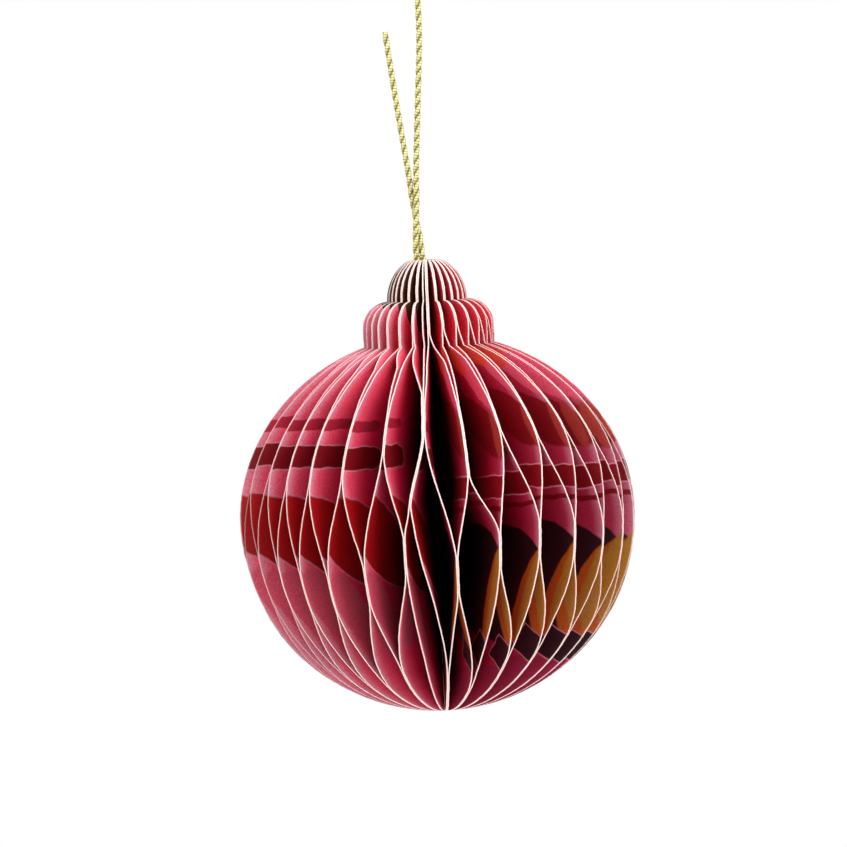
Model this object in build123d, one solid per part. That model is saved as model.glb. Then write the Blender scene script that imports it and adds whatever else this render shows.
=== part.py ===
"""Honeycomb paper bauble: paper leaves glued in alternating rows round a hollow spine, hung on a gold cord.

Millimetres, +Z up. The bauble hangs on its own axis below the origin, which is the inside of the cord's
hanging loop. Azimuth 0 faces -Y and grows towards +X. Heights count from the ball's widest level.
"""

import math
import os

from build123d import *

# Paper: pairs of leaves make the ring, and one more leaf closes it
PAIR_COUNT = 28
PAPER_THICKNESS = 0.22
GLUE_FILM = 0.03

# Outline of a leaf, from the ball up to the crown
BALL_RADIUS = 35.0
BALL_RISE = 32.6
BALL_DROP = 34.1
COLLAR_RADIUS = 11.6
COLLAR_WALL = 3.2
COLLAR_ROUND = 4.7
CROWN_RADIUS = 7.1
CROWN_RISE = 7.8

# Glue rows: cap and middle row join one set of neighbours, upper and lower row join the other set.
# The cap's row ends at or above the neck, the upper row starts below it, and the lower row ends at the bottom.
# The cap sits a little turned, and the upper row's joints stay open by a crack at their top
ROW_SLANT = 8.0
CAP_SLANT = 20.0
CAP_TURN = -3.7
CAP_FORK_RISE = 1.9
CAP_FORK_LEAST = 0.4
UPPER_TOP_DROP = 2.9
UPPER_CRACK = 1.0
UPPER_CRACK_LENGTH = 7.5
UPPER_FORK = 13.3
MIDDLE_HEIGHT = -6.5
MIDDLE_LENGTH = 6.5
LOWER_ROW_LENGTH = 9.3
CREASE_SOFTNESS = 0.5

# How far the hand-glued rows wander up or down, joint by joint from the closing seam, then again behind
UPPER_WANDER = (2.8, -5.4, 1.2, -1.3, -1.2, -2.6, 1.0, 0.0, 0.0, 2.3, -1.0, -2.0, -2.0, 1.2)
MIDDLE_WANDER = (-2.3, 0.6, 1.1, -0.3, -2.0, -2.2, -0.5, 0.8, 2.2, 0.3, -1.0, -2.1, -1.4, 2.6)
LOWER_WANDER = (-1.5, -6.0, -0.9, -1.1, 0.5, 2.2, -1.0, 0.0, 1.0, -0.5, 0.5, -1.1, -2.0, 0.7)

# One side of the ring, where the leaves are bunched towards the front
BUNCH_AZIMUTH = -75.0
BUNCH_WIDTH = 45.0
BUNCH_TURN = 8.0

# Closing seam at the front: the first and last leaf meet on the ball, part again lower down and gape,
# so the lower row's joints are drawn aside on both sides of it, and the middle row's on the right
SEAM_AZIMUTH = -3.0
SEAM_MEET_DROP = 7.76
SEAM_PART = 4.0
SEAM_CAP_TURN = 4.0
SEAM_PULL_RIGHT = 4.8
SEAM_PULL_LEFT = 2.5
SEAM_PULL_MIDDLE = 1.9
SEAM_PULL_JOINTS = 14

# Cord: the knot that wedges in the spine, and the knot that ties the hanging loop, all many-sided rounds
CORD_DIAMETER = 1.05
CORD_SIDES = 8
KNOT_SIDES = 12
ANCHOR_LENGTH = 5.0
ANCHOR_CLEARANCE = 0.15
ANCHOR_CHAMFER = 0.9
LOOP_KNOT_RADIUS = 1.7
LOOP_KNOT_LENGTH = 3.4
LOOP_KNOT_CHAMFER = 0.55

# Routes of the two strands: side by side in the spine, half a turn round each other, then apart
STRAND_ROUTE = (
    (-0.62, 0.05, 38.3),
    (-0.75, 0.0, 42.0),
    (-1.52, 0.0, 45.8),
    (-1.50, -0.44, 49.4),
    (-1.20, -0.62, 53.0),
    (-0.92, -0.44, 56.8),
    (-0.86, 0.0, 60.6),
    (-0.42, 0.10, 67.0),
    (0.28, 0.0, 76.0),
    (1.10, 0.0, 87.0),
    (0.75, 0.0, 97.0),
)
LOOP_ROUTE = (
    (5.3, 0.0, 104.2),
    (4.9, 0.0, 109.6),
    (2.3, 0.0, 112.5),
    (-2.3, 0.0, 112.5),
    (-4.9, 0.0, 109.6),
    (-5.3, 0.0, 104.2),
    (-3.4, 0.0, 100.6),
    (-0.75, 0.0, 97.8),
)
TAIL_ROUTE = (
    (0.62, -0.05, 38.3),
    (0.50, 0.0, 42.0),
    (-0.44, 0.0, 45.8),
    (-0.62, 0.44, 49.4),
    (-1.20, 0.62, 53.0),
    (-1.80, 0.44, 56.8),
    (-2.10, 0.0, 60.6),
    (-2.90, 0.0, 67.0),
    (-4.08, 0.0, 76.8),
    (-5.1, 0.0, 86.3),
)
BEND_SHARE = 0.45

# Where the leaf's outline has its corners: turns in degrees along each round stretch, and the least step
CROWN_TURNS = (40, 20)
COLLAR_TURNS = (30, 60)
BALL_TURNS = (60, 50, 40, 30, 20, 10, 0, -10, -20, -30, -40, -50, -60, -68, -76, -81)
SPINE_PARTS = 6
LEAST_STEP = 1.2

# Worked out from the sizes above
LEAF_COUNT = 2 * PAIR_COUNT + 1
LEAF_PITCH = 360.0 / LEAF_COUNT
PAIR_PITCH = 360.0 / PAIR_COUNT
SPINE_RADIUS = (PAPER_THICKNESS + GLUE_FILM) / (2 * math.sin(math.pi / LEAF_COUNT))
NECK_HEIGHT = BALL_RISE * math.sqrt(1 - (COLLAR_RADIUS / BALL_RADIUS) ** 2)
WALL_TOP = NECK_HEIGHT + COLLAR_WALL
WAIST_HEIGHT = WALL_TOP + COLLAR_ROUND
CROWN_TOP = WAIST_HEIGHT + CROWN_RISE * math.sqrt(1 - (SPINE_RADIUS / CROWN_RADIUS) ** 2)
BOTTOM = -BALL_DROP * math.sqrt(1 - (SPINE_RADIUS / BALL_RADIUS) ** 2)
CAP_FORK = NECK_HEIGHT + CAP_FORK_RISE
UPPER_TOP = NECK_HEIGHT - UPPER_TOP_DROP
LOWER_MERGE = LOWER_ROW_LENGTH - BALL_DROP
SEAM_MEET = NECK_HEIGHT - SEAM_MEET_DROP
LOOP_TOP = max(z for _, _, z in LOOP_ROUTE)


def heading(azimuth):
    """Unit vector away from the axis at an azimuth in degrees."""
    turn = math.radians(azimuth)
    return Vector(math.sin(turn), -math.cos(turn), 0)


def quarter_round(share):
    """Width of an ellipse, as a share of its widest, at a share of its half height."""
    return math.sqrt(max(0.0, 1 - share**2))


def outline_radius(z):
    """Radius of the bauble's outline at a height."""
    if z >= WAIST_HEIGHT:
        return CROWN_RADIUS * quarter_round((z - WAIST_HEIGHT) / CROWN_RISE)
    if z >= WALL_TOP:
        overhang = COLLAR_RADIUS - CROWN_RADIUS
        return CROWN_RADIUS + overhang * quarter_round((z - WALL_TOP) / COLLAR_ROUND)
    if z >= NECK_HEIGHT:
        return COLLAR_RADIUS
    half_height = BALL_RISE if z > 0 else BALL_DROP
    return BALL_RADIUS * quarter_round(z / half_height)


def outline_levels():
    """Heights of the corners of the leaf's outline, from the crown down."""
    levels = [WAIST_HEIGHT + CROWN_RISE * math.sin(math.radians(turn)) for turn in CROWN_TURNS]
    levels.append(WAIST_HEIGHT)
    levels += [WALL_TOP + COLLAR_ROUND * math.cos(math.radians(turn)) for turn in COLLAR_TURNS]
    levels += [WALL_TOP, NECK_HEIGHT]
    for turn in BALL_TURNS:
        half_height = BALL_RISE if turn > 0 else BALL_DROP
        levels.append(half_height * math.sin(math.radians(turn)))
    return [z for z in levels if BOTTOM < z < CROWN_TOP]


def joint_azimuth(joint):
    """Azimuth of a glued joint: whole numbers in the upper and lower rows, halves in the other two."""
    even = SEAM_AZIMUTH + PAIR_PITCH * joint
    away = (even - BUNCH_AZIMUTH + 180) % 360 - 180
    if abs(away) >= BUNCH_WIDTH:
        return even
    return even + BUNCH_TURN * math.cos(math.radians(90 * away / BUNCH_WIDTH)) ** 2


def nearness(joints):
    """How near a joint is to the closing seam, from one at the seam down to zero."""
    return max(0.0, 1 - joints / SEAM_PULL_JOINTS)


def middle_azimuth(joint):
    """Azimuth of a joint in the middle row."""
    return joint_azimuth(joint) + SEAM_PULL_MIDDLE * nearness(joint % PAIR_COUNT)


def lower_azimuth(joint):
    """Azimuth of a joint in the lower row."""
    pull = SEAM_PULL_RIGHT * nearness(joint) - SEAM_PULL_LEFT * nearness(PAIR_COUNT - joint)
    return joint_azimuth(joint) + pull


def slant(joint, radius, askew=ROW_SLANT):
    """Rise of a glue row at a joint, because it runs askew of the axis."""
    turn = math.radians(joint_azimuth(joint))
    return radius * math.sin(turn) * math.tan(math.radians(askew))


def wander(row, joint):
    """Extra rise of one joint in a row."""
    return row[math.floor(joint) % len(row)]


def cap_fork(joint):
    """Height at which two leaves glued in the cap part."""
    return max(CAP_FORK + slant(joint, COLLAR_RADIUS, CAP_SLANT), NECK_HEIGHT + CAP_FORK_LEAST)


def upper_top(joint):
    """Height at which two leaves of the upper row meet below the cap."""
    return UPPER_TOP + slant(joint, COLLAR_RADIUS)


def upper_fork(joint):
    """Height at which two leaves of the upper row part."""
    return UPPER_FORK + slant(joint, BALL_RADIUS) + wander(UPPER_WANDER, joint)


def middle(joint):
    """Height of the middle of a joint in the middle row."""
    return MIDDLE_HEIGHT + slant(joint, BALL_RADIUS) + wander(MIDDLE_WANDER, joint)


def lower_merge(joint):
    """Height at which two leaves of the lower row meet."""
    return LOWER_MERGE + slant(joint, BALL_RADIUS) + wander(LOWER_WANDER, joint)


def regular_path(upper_joint, middle_joint):
    """Heights and azimuths through which a leaf's cut edge runs, from the crown down."""
    in_cap = joint_azimuth(middle_joint) + CAP_TURN
    at_upper = joint_azimuth(upper_joint)
    at_middle = middle_azimuth(middle_joint)
    crack = math.copysign(UPPER_CRACK, middle_joint - upper_joint)
    return [
        (CROWN_TOP, in_cap),
        (cap_fork(middle_joint), in_cap),
        (upper_top(upper_joint), at_upper + crack),
        (upper_top(upper_joint) - UPPER_CRACK_LENGTH, at_upper),
        (upper_fork(upper_joint), at_upper),
        (middle(middle_joint) + MIDDLE_LENGTH / 2, at_middle),
        (middle(middle_joint) - MIDDLE_LENGTH / 2, at_middle),
        (lower_merge(upper_joint), lower_azimuth(upper_joint)),
        (BOTTOM, lower_azimuth(upper_joint)),
    ]


def azimuth_on(path, z):
    """Azimuth of a leaf at a height: straight runs eased at both ends."""
    for (high, start), (low, end) in zip(path, path[1:]):
        if z >= low:
            share = min(1.0, max(0.0, (high - z) / (high - low)))
            eased = share * share * (3 - 2 * share)
            return start + (end - start) * (share + CREASE_SOFTNESS * (eased - share))
    return path[-1][1]


def last_leaf_path():
    """The last leaf joins the first one at the upper row, parts from it and runs alone to the bottom."""
    path = regular_path(0, -0.5)
    path[2:4] = [(SEAM_MEET, joint_azimuth(0))]
    path[6:] = [(BOTTOM, joint_azimuth(-0.25))]
    path.insert(4, (SEAM_PART, azimuth_on(path, SEAM_PART)))
    return path


def first_leaf_path():
    """The first leaf lies on the last one down to where the seam parts, then crosses to its own joint."""
    last = last_leaf_path()
    in_cap = joint_azimuth(0.5) + CAP_TURN - SEAM_CAP_TURN
    return [
        (CROWN_TOP, in_cap),
        (cap_fork(0.5), in_cap),
        (upper_top(0), joint_azimuth(0)),
        *last[3:5],
        (lower_merge(0), lower_azimuth(0)),
        (BOTTOM, lower_azimuth(0)),
    ]


def leaf_path(number):
    """Path of a leaf, counted from 1 at the right of the closing seam."""
    if number == 1:
        return first_leaf_path()
    if number == LEAF_COUNT:
        return last_leaf_path()
    if number % 2 == 0:
        return regular_path(number / 2 - 1, number / 2 - 0.5)
    return regular_path((number - 1) / 2, (number - 1) / 2 - 0.5)


def spine_azimuth(number):
    """Azimuth at which a leaf stands on the hollow spine."""
    return SEAM_AZIMUTH + (number - 1.5) * LEAF_PITCH


def edge_levels(path):
    """Heights of the corners of a leaf's cut edge: its creases, and the outline's corners clear of them."""
    creases = [z for z, _ in path[1:-1]]
    creases.append(SEAM_PART)
    kept = [z for z in outline_levels() if all(abs(z - crease) > LEAST_STEP for crease in creases)]
    must = [WAIST_HEIGHT, NECK_HEIGHT]
    clear = [crease for crease in creases if all(abs(crease - z) > LEAST_STEP / 2 for z in must)]
    return sorted(set(kept + clear + must), reverse=True)


def leaf_corners(number):
    """Corners of the leaf's middle sheet: down its spine, and down its cut edge between the spine's ends."""
    path = leaf_path(number)
    pivot = SPINE_RADIUS * heading(spine_azimuth(number))
    step = (CROWN_TOP - BOTTOM) / SPINE_PARTS
    spine = [pivot + Vector(0, 0, CROWN_TOP - step * part) for part in range(SPINE_PARTS + 1)]
    edge = [spine[0]]
    for z in edge_levels(path):
        reach = outline_radius(z) - SPINE_RADIUS
        edge.append(pivot + reach * heading(azimuth_on(path, z)) + Vector(0, 0, z))
    edge.append(spine[-1])
    return spine, edge


def sheet_facets(spine, edge):
    """Flat triangles between a leaf's spine and its cut edge, from the top down."""
    facets = []
    low = 0
    for upper, lower in zip(edge, edge[1:]):
        while low < SPINE_PARTS and abs(spine[low + 1].Z - lower.Z) < abs(spine[low].Z - lower.Z):
            if upper is not spine[low]:
                facets.append((spine[low], upper, spine[low + 1]))
            low += 1
        if upper is not spine[low] and lower is not spine[low]:
            facets.append((spine[low], upper, lower))
    return facets


def flat_face(*corners):
    """Flat face with these corners."""
    return Face(Wire.make_polygon(corners, close=True))


def paper_leaf(number):
    """One folded leaf: its facets on both sides of the sheet, and the cut edges between them."""
    spine, edge = leaf_corners(number)
    turn = math.radians(spine_azimuth(number))
    half = Vector(math.cos(turn), math.sin(turn), 0) * (PAPER_THICKNESS / 2)
    faces = []
    for a, b, c in sheet_facets(spine, edge):
        faces.append(flat_face(a + half, b + half, c + half))
        faces.append(flat_face(a - half, c - half, b - half))
    for chain in (spine, edge):
        for a, b in zip(chain, chain[1:]):
            faces.append(flat_face(a + half, b + half, b - half, a - half))
    return Solid(Shell(faces))


def bend_radii(points):
    """Radius of the bend at each inner point of a cord's route, from the shorter of the runs that meet."""
    radii = []
    for before, at, after in zip(points, points[1:], points[2:]):
        run_in = at - before
        run_out = after - at
        half_turn = math.radians(run_in.get_angle(run_out)) / 2
        radii.append(BEND_SHARE * min(run_in.length, run_out.length) / math.tan(half_turn))
    return radii


def cord_tube(name, points):
    """Round cord along straight runs joined by tangent bends."""
    route = [Vector(*point) for point in points]
    radii = bend_radii(route)
    path = FilletPolyline(*route, radius=radii)
    start = Plane(origin=route[0], z_dir=route[1] - route[0])
    section = RegularPolygon(CORD_DIAMETER / 2, CORD_SIDES)
    tube = sweep(start * section, path=path)
    fill = tube.volume / (section.area * path.length)
    print(f"{name}: {path.length:.1f} mm long, tightest bend {min(radii):.1f} mm, fill {fill:.3f}")
    return tube


def cord_knot(radius, length, edge):
    """Pulled-tight knot: a short drum with its rims taken off."""
    drum = extrude(RegularPolygon(radius, KNOT_SIDES), length / 2, both=True)
    return chamfer(drum.edges().filter_by(Plane.XY), edge)


def anchor_knot():
    """Knot in the doubled end of the cord, wedged in the hollow spine."""
    radius = SPINE_RADIUS - ANCHOR_CLEARANCE
    top = STRAND_ROUTE[0][2] - GLUE_FILM
    return Pos(0, 0, top - ANCHOR_LENGTH / 2) * cord_knot(radius, ANCHOR_LENGTH, ANCHOR_CHAMFER)


def hanging_cord():
    """Long strand with the loop at its end and the knot that ties the loop."""
    strand = cord_tube("hanging_cord", STRAND_ROUTE + LOOP_ROUTE)
    knot = cord_knot(LOOP_KNOT_RADIUS, LOOP_KNOT_LENGTH, LOOP_KNOT_CHAMFER)
    return strand + Pos(*STRAND_ROUTE[-1]) * knot


def main():
    """Write one file for each piece, hung below the hook that carries the loop."""
    os.makedirs("parts", exist_ok=True)
    pieces = {f"paper_leaf_{number:02d}": paper_leaf(number) for number in range(1, LEAF_COUNT + 1)}
    pieces["anchor_knot"] = anchor_knot()
    pieces["hanging_cord"] = hanging_cord()
    pieces["cord_tail"] = cord_tube("cord_tail", TAIL_ROUTE)
    below_hook = Pos(0, 0, CORD_DIAMETER / 2 - LOOP_TOP)
    for name, shape in pieces.items():
        export_step(below_hook * shape, f"parts/{name}.step")


if __name__ == "__main__":
    main()
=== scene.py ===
"""Dresses the honeycomb paper bauble: printed leaves, a twisted gold cord and its knots.

Sizes are in millimetres, with heights counted from the ball's widest level. They become metres in
the shared frame, whose origin is the inside of the hanging loop. Azimuth 0 faces -Y and grows
towards +X. A pale studio stands round the bauble.
"""

import logging
import math
from dataclasses import dataclass
from enum import Enum, IntEnum
from typing import Any, Sequence

import bpy
import numpy as np
from mathutils import Matrix, Vector, noise


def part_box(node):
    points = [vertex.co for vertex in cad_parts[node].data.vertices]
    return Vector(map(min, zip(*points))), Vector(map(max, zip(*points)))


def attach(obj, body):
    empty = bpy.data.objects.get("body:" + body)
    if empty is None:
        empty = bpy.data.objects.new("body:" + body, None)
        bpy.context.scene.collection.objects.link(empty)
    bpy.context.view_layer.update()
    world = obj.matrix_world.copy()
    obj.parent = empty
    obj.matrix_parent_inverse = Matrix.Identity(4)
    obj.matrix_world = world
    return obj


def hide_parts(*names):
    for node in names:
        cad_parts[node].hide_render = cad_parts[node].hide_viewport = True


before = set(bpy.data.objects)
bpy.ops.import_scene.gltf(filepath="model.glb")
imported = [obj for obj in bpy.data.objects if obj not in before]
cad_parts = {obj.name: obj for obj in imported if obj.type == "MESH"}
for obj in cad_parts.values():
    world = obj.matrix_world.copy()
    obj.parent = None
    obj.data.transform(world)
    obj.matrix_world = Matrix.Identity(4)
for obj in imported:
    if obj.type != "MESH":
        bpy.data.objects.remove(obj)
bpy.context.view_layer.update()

MM = 0.001
BODY = "root"
PRINT_MAP = "printed_sheet"
EDGE_MAP = "cut_edge"
THREAD_MAP = "thread"
LAY_MAP = "lay"
WHITE = "#FFFFFF"

# Half the width over which an ink's edge fades, because ink bleeds a little into uncoated card.
INK_EDGE = 0.16

# Sockets of a colour mix go by number, because their names repeat for each kind of value.
MIX_SHARE, MIX_UNDER, MIX_OVER, MIX_RESULT = 0, 6, 7, 2

logging.basicConfig(level=logging.INFO, format="%(message)s")
log = logging.getLogger("bauble")

Path = list[tuple[float, float]]
Place = tuple[float, float, float]
Points = Sequence[Place]
Tree = bpy.types.NodeTree
Socket = bpy.types.NodeSocket


def linear(colour: str) -> tuple[float, float, float, float]:
    """Turns an sRGB hex colour into linear light.

    Args:
        colour: Six hex digits after a hash sign.

    Returns:
        Red, green, blue and an alpha of one.
    """
    channels = [int(colour[at : at + 2], 16) / 255 for at in (1, 3, 5)]
    # The numbers are those of the sRGB standard.
    light = [c / 12.92 if c <= 0.04045 else ((c + 0.055) / 1.055) ** 2.4 for c in channels]
    return light[0], light[1], light[2], 1.0


def add_node(
    tree: Tree,
    kind: str,
    settings: dict[Any, Any] | None = None,
    links: dict[Any, Socket] | None = None,
) -> bpy.types.Node:
    """Adds a shader node with its settings and links.

    Args:
        tree: Node tree that gets the node.
        kind: Blender's name for the node type, after "ShaderNode".
        settings: Values by property name, or else by input name or number.
        links: Output sockets by the input name or number that they feed.

    Returns:
        The new node.
    """
    node = tree.nodes.new("ShaderNode" + kind)
    for name, value in (settings or {}).items():
        if isinstance(name, str) and hasattr(node, name):
            setattr(node, name, value)
        else:
            node.inputs[name].default_value = value
    for name, source in (links or {}).items():
        tree.links.new(source, node.inputs[name])
    return node


def new_material(name: str) -> tuple[bpy.types.Material, Tree, bpy.types.Node]:
    """Makes a material with one Principled shader.

    Args:
        name: Name of the material.

    Returns:
        The material, its node tree and its shader.
    """
    material = bpy.data.materials.new(name)
    material.use_nodes = True
    tree = material.node_tree
    return material, tree, tree.nodes["Principled BSDF"]


class Shape(Enum):
    """Outline of a field of colour in the print."""

    ROUND = "ellipse"
    TABLET = "bar with rounded ends"
    LOZENGE = "diamond"


class Ink(str, Enum):
    """Colours of the print. EDGE_LIT_PINK and EDGE_LIT_SHADED_PINK are painted light along the cut
    edge, and the SHADED pinks are darker copies of the pinks: painted shade on the left faces.
    """

    PINK = "#F4526E"
    EDGE_LIT_PINK = "#D8869A"
    MAGENTA = "#F62A5A"
    PETAL_PINK = "#DC526C"
    CHERRY = "#AE2038"
    SHADED_PINK = "#AC2A48"
    EDGE_LIT_SHADED_PINK = "#BC6A80"
    SHADED_MAGENTA = "#A8103C"
    CRIMSON = "#7E0A16"
    SCARLET = "#D02C3A"
    FLAME = "#D84A38"
    DEEP_RED = "#A60A10"
    WINE = "#8C1E40"
    CORAL = "#A2342C"
    PLUM = "#240A12"
    GOLD = "#9E6A22"
    AMBER = "#A84E10"
    OLIVE = "#3C2C14"
    ROSE = "#D98C9C"


@dataclass(frozen=True)
class Field:
    """One field of colour in the print, in millimetres on the flat leaf.

    Attributes:
        shape: Outline of the field.
        colour: Ink colour.
        centre: Distance from the axis and height of its middle.
        half: Half its width and half its height, before it is tilted.
        tilt: Turn in degrees, outer end up.
        line: Width of the pale keyline round it.
    """

    shape: Shape
    colour: Ink
    centre: tuple[float, float]
    half: tuple[float, float]
    tilt: float = 0.0
    line: float = 0.0

    def coverage(self, tree: Tree, place: Socket, spread: float) -> Socket:
        """Adds the nodes that say where the field is.

        Args:
            tree: Node tree of the print.
            place: Place on the flat leaf, in millimetres.
            spread: How far the field is widened all round.

        Returns:
            Socket that is one inside the field and zero outside.
        """
        half = [size + spread for size in self.half]
        settings = {
            "vector_type": "TEXTURE",
            "Location": (*self.centre, 0.0),
            "Rotation": (0.0, 0.0, math.radians(self.tilt)),
            "Scale": (*half, 1.0),
        }
        inside = add_node(tree, "Mapping", settings, {"Vector": place}).outputs[0]
        if self.shape is Shape.LOZENGE:
            settings = {"operation": "ABSOLUTE"}
            inside = add_node(tree, "VectorMath", settings, {0: inside}).outputs[0]
            settings = {"operation": "DOT_PRODUCT", 1: (1.0, 1.0, 0.0)}
            reach = add_node(tree, "VectorMath", settings, {0: inside}).outputs["Value"]
        else:
            if self.shape is Shape.TABLET:
                settings, links = {"operation": "MULTIPLY"}, {0: inside, 1: inside}
                inside = add_node(tree, "VectorMath", settings, links).outputs[0]
            settings = {"operation": "LENGTH"}
            reach = add_node(tree, "VectorMath", settings, {0: inside}).outputs["Value"]
        soft = INK_EDGE / min(half)
        settings = {"From Min": 1 - soft, "From Max": 1 + soft, "To Min": 1.0, "To Max": 0.0}
        return add_node(tree, "MapRange", settings, {"Value": reach}).outputs[0]


# The ground is painted paler along the cut edge, as painted light where light reaches in at the
# gaps, and deepens inward.
RIGHT_FACE_GROUND = ((0.0, Ink.EDGE_LIT_PINK), (2.0, Ink.PINK), (8.0, Ink.MAGENTA))
RIGHT_FACE_PRINT = (
    Field(Shape.ROUND, Ink.PETAL_PINK, centre=(27.0, -14.5), half=(9.5, 3.4), tilt=46.0),
    Field(Shape.ROUND, Ink.DEEP_RED, centre=(27.0, -2.4), half=(16.0, 5.6), tilt=26.0, line=0.18),
    Field(Shape.TABLET, Ink.CRIMSON, centre=(29.5, 12.3), half=(9.5, 1.9), tilt=2.0, line=0.22),
    Field(Shape.TABLET, Ink.CHERRY, centre=(28.5, 17.9), half=(8.5, 0.95), tilt=2.0),
    Field(Shape.ROUND, Ink.FLAME, centre=(12.5, 27.6), half=(3.0, 1.2), tilt=-20.0),
    Field(Shape.TABLET, Ink.OLIVE, centre=(2.0, 42.0), half=(7.0, 8.2)),
)
# The left faces' ground is painted shade: darker copies of the right faces' pinks, painted paler
# along the cut edge too.
LEFT_FACE_SHADED_GROUND = ((0.0, Ink.EDGE_LIT_SHADED_PINK), (2.0, Ink.SHADED_PINK), (8.0, Ink.SHADED_MAGENTA))
LEFT_FACE_PRINT = (
    Field(Shape.TABLET, Ink.SCARLET, centre=(4.0, 39.8), half=(9.5, 9.2)),
    Field(Shape.ROUND, Ink.PETAL_PINK, centre=(19.0, 26.4), half=(10.0, 1.7), tilt=-33.0),
    Field(Shape.ROUND, Ink.FLAME, centre=(13.5, 28.6), half=(4.2, 1.5), tilt=-28.0),
    Field(Shape.ROUND, Ink.CRIMSON, centre=(23.5, 17.4), half=(11.0, 3.3), tilt=-22.0),
    Field(Shape.ROUND, Ink.CORAL, centre=(29.2, 16.2), half=(5.0, 1.2), tilt=-57.0),
    Field(Shape.TABLET, Ink.CRIMSON, centre=(27.0, 7.0), half=(13.0, 1.9), tilt=3.0, line=0.22),
    Field(Shape.TABLET, Ink.CRIMSON, centre=(27.0, 3.2), half=(13.0, 0.45), tilt=3.0),
    Field(Shape.TABLET, Ink.WINE, centre=(12.0, -31.0), half=(19.0, 6.4)),
    Field(Shape.ROUND, Ink.PLUM, centre=(24.0, -10.5), half=(13.0, 10.0)),
    Field(Shape.ROUND, Ink.AMBER, centre=(32.6, -13.6), half=(5.2, 10.8), tilt=-30.0),
    Field(Shape.ROUND, Ink.GOLD, centre=(36.0, -11.4), half=(5.4, 13.0), tilt=-30.0),
    Field(Shape.LOZENGE, Ink.PLUM, centre=(24.0, -22.6), half=(5.5, 3.6), line=0.22),
)


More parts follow.
